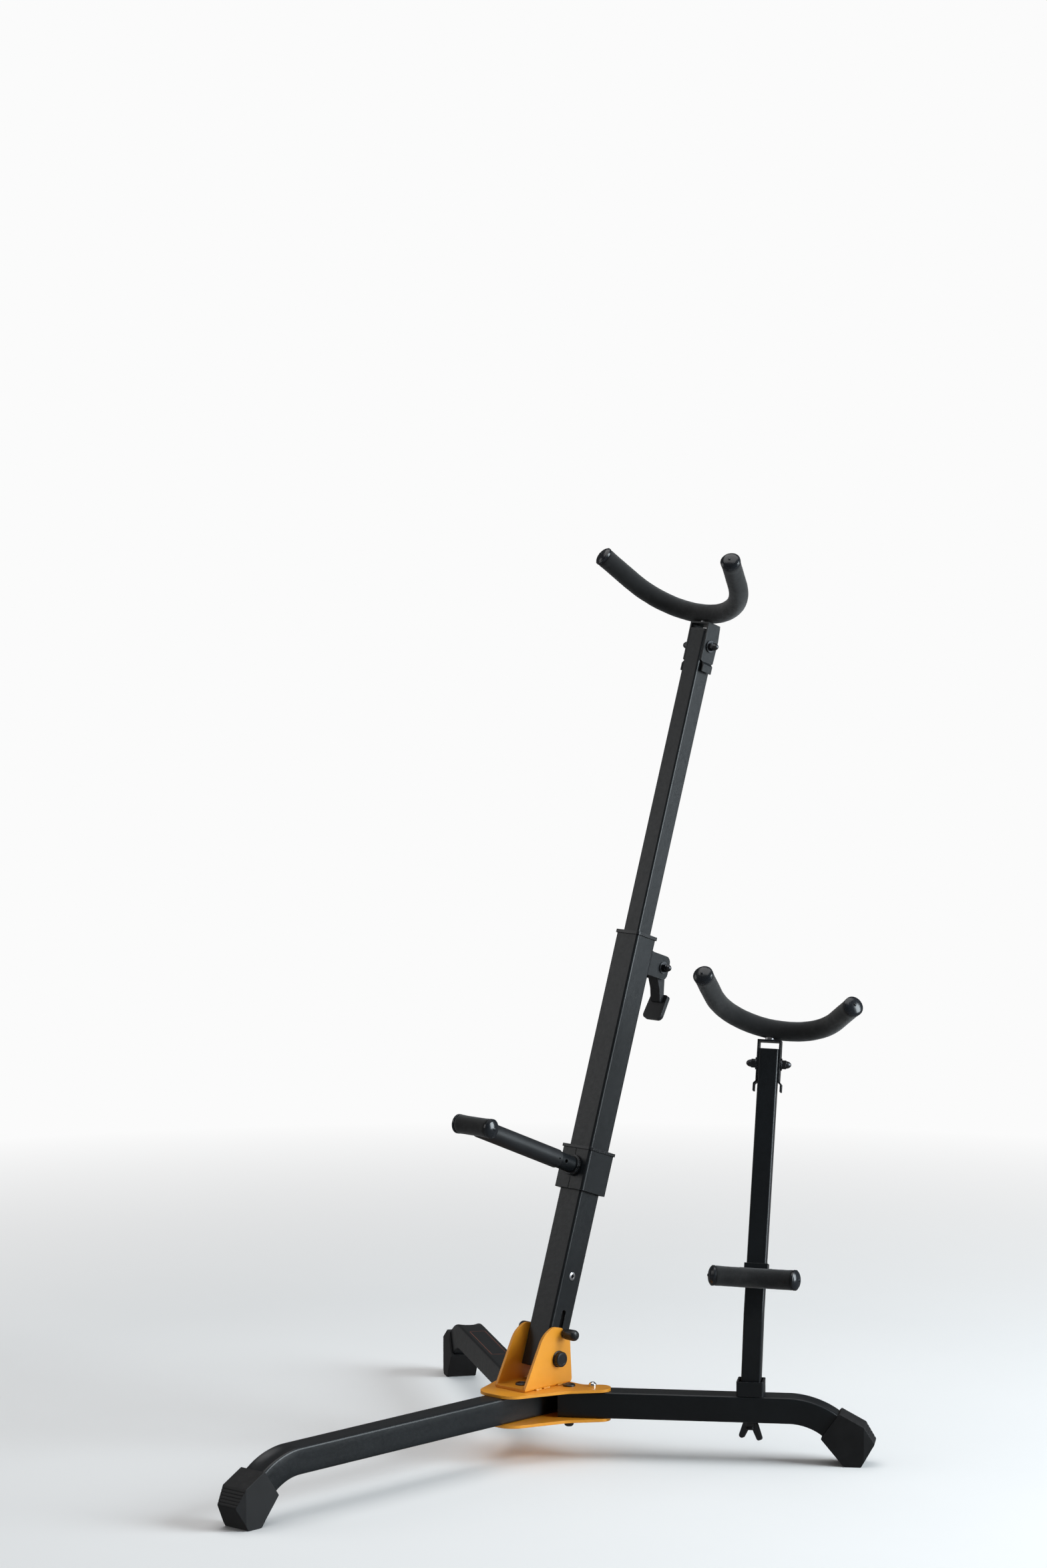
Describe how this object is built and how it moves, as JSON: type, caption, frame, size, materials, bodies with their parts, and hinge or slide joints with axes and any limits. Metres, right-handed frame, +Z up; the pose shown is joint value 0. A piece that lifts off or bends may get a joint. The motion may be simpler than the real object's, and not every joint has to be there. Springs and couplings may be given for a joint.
{
  "type": "saxophone stand",
  "caption": "Folding floor stand for a large saxophone: orange hub with splayed black legs, leaning telescopic post, support arm, foam yoke and a smaller holder on one leg.",
  "frame": {"origin": "on the floor, on the centre plane, between the hub's three leg bolts", "axes": "+Z up, -Y along the fixed front leg towards the player, +X towards the side leg that carries the second holder"},
  "size_m": [0.637, 0.7172, 0.9255],
  "materials": {
    "orange_coat": "warm yellow-orange powder coat, semi-gloss",
    "black_coat": "black powder coat, satin with fine texture",
    "black_zinc": "black zinc on steel fasteners, semi-gloss",
    "bright_steel": "plain zinc-plated steel",
    "chrome": "polished",
    "black_plastic": "moulded black plastic, semi-gloss",
    "white_nylon": "natural nylon",
    "black_rubber": "moulded rubber, matt",
    "black_foam": "closed-cell foam tube, matt and finely pored"
  },
  "bodies": {
    "base": {"top_plate": "orange_coat", "bottom_plate": "orange_coat", "post_bracket": "orange_coat", "bracket_welds": "orange_coat", "leg_bolts": "black_zinc", "leg_bolt_nuts": "black_zinc", "leg_spacers": "bright_steel", "front_leg": "black_coat", "front_foot": "black_rubber", "pivot_bolt": "black_zinc", "pivot_cap_nut": "black_plastic", "pivot_washers": "white_nylon"},
    "right_leg": {"right_leg": "black_coat", "right_foot": "black_rubber", "holder_socket": "black_coat"},
    "left_leg": {"left_leg": "black_coat", "left_foot": "black_rubber"},
    "right_leg_lock": {"right_leg_lock": "chrome"},
    "left_leg_lock": {"left_leg_lock": "chrome"},
    "post": {"outer_tube": "black_coat", "top_collar": "black_plastic", "pivot_sleeve": "bright_steel", "lock_spring": "bright_steel", "spring_rivet": "bright_steel", "clamp_bracket": "black_coat", "clamp_bolt": "black_zinc", "clamp_nut": "black_zinc", "clamp_pad": "black_plastic"},
    "lock_pin": {"lock_pin": "bright_steel", "lock_pin_knobs": "black_plastic"},
    "clamp_lever": {"clamp_lever": "black_plastic"},
    "upper_post": {"inner_tube": "black_coat", "inner_tube_glide": "white_nylon", "inner_tube_plug": "black_plastic", "yoke_bolt": "black_zinc", "yoke_nuts": "black_zinc"},
    "yoke": {"yoke_bracket": "black_coat", "yoke_core": "bright_steel", "yoke_foam": "black_foam", "yoke_caps": "black_plastic"},
    "arm_collar": {"arm_collar": "black_coat", "arm_collar_liner": "black_plastic", "arm_stub": "black_coat"},
    "arm": {"arm_tube": "black_coat", "arm_bar_core": "bright_steel", "arm_bar_foam": "black_foam", "arm_bar_caps": "black_plastic"},
    "holder": {"holder_post": "black_coat", "holder_insert": "bright_steel", "holder_bar_bracket": "black_coat", "holder_bar_core": "bright_steel", "holder_bar_foam": "black_foam", "holder_bar_caps": "black_plastic", "holder_yoke_bolt": "black_zinc", "holder_yoke_nuts": "black_zinc"},
    "holder_yoke": {"holder_yoke_bracket": "black_coat", "holder_yoke_core": "bright_steel", "holder_yoke_foam": "black_foam", "holder_yoke_caps": "black_plastic"},
    "wing_bolt": {"wing_bolt": "black_zinc"}
  },
  "joints": [
    {"name": "post_fold", "type": "hinge", "parent": "base", "child": "post", "pos_m": [0, 0.0142, 0.1001], "axis": [-1, 0, 0], "range_deg": [0, 70]},
    {"name": "lock_pin_lift", "type": "slide", "parent": "post", "child": "lock_pin", "axis": [0, 0.3223, 0.9466], "range_m": [0, 0.0205], "deforming": ["lock_spring"]},
    {"name": "right_leg_fold", "type": "hinge", "parent": "base", "child": "right_leg", "pos_m": [0.0308, 0.02, 0.0555], "axis": [0, 0, -1], "range_deg": [0, 125]},
    {"name": "left_leg_fold", "type": "hinge", "parent": "base", "child": "left_leg", "pos_m": [-0.0308, 0.02, 0.0555], "axis": [0, 0, 1], "range_deg": [0, 125]},
    {"name": "right_button_press", "type": "slide", "parent": "right_leg", "child": "right_leg_lock", "axis": [0, 0, -1], "range_m": [0, 0.007], "deforming": ["right_leg_lock"]},
    {"name": "left_button_press", "type": "slide", "parent": "left_leg", "child": "left_leg_lock", "axis": [0, 0, -1], "range_m": [0, 0.007], "deforming": ["left_leg_lock"]},
    {"name": "height_slide", "type": "slide", "parent": "post", "child": "upper_post", "axis": [0, 0.3223, 0.9466], "range_m": [-0.2, 0.06]},
    {"name": "clamp_lever_flip", "type": "hinge", "parent": "post", "child": "clamp_lever", "pos_m": [0, 0.18965, 0.48827], "axis": [1, 0, 0], "range_deg": [0, 100]},
    {"name": "arm_height_slide", "type": "slide", "parent": "post", "child": "arm_collar", "axis": [0, 0.3223, 0.9466], "range_m": [-0.05, 0.17]},
    {"name": "arm_length_slide", "type": "slide", "parent": "arm_collar", "child": "arm", "axis": [0, -0.9285, 0.3714], "range_m": [-0.018, 0.02]},
    {"name": "yoke_flip", "type": "hinge", "parent": "upper_post", "child": "yoke", "pos_m": [0, 0.26025, 0.82287], "axis": [1, 0, 0], "range_deg": [0, 90]},
    {"name": "holder_lift", "type": "slide", "parent": "right_leg", "child": "holder", "axis": [0, 0, 1], "range_m": [0, 0.12]},
    {"name": "holder_yoke_flip", "type": "hinge", "parent": "holder", "child": "holder_yoke", "pos_m": [0.15896, 0.18499, 0.40203], "axis": [0.8187, 0.5732, -0.0349], "range_deg": [0, 90]},
    {"name": "wing_bolt_turn", "type": "hinge", "parent": "right_leg", "child": "wing_bolt", "pos_m": [0.1848, 0.12783, 0.04], "axis": [0, 0, -1], "continuous": true}
  ],
  "couplings": [
    {"joint": "lock_pin_lift", "follows": "post_fold", "m_per_rad": 0.0165}
  ]
}
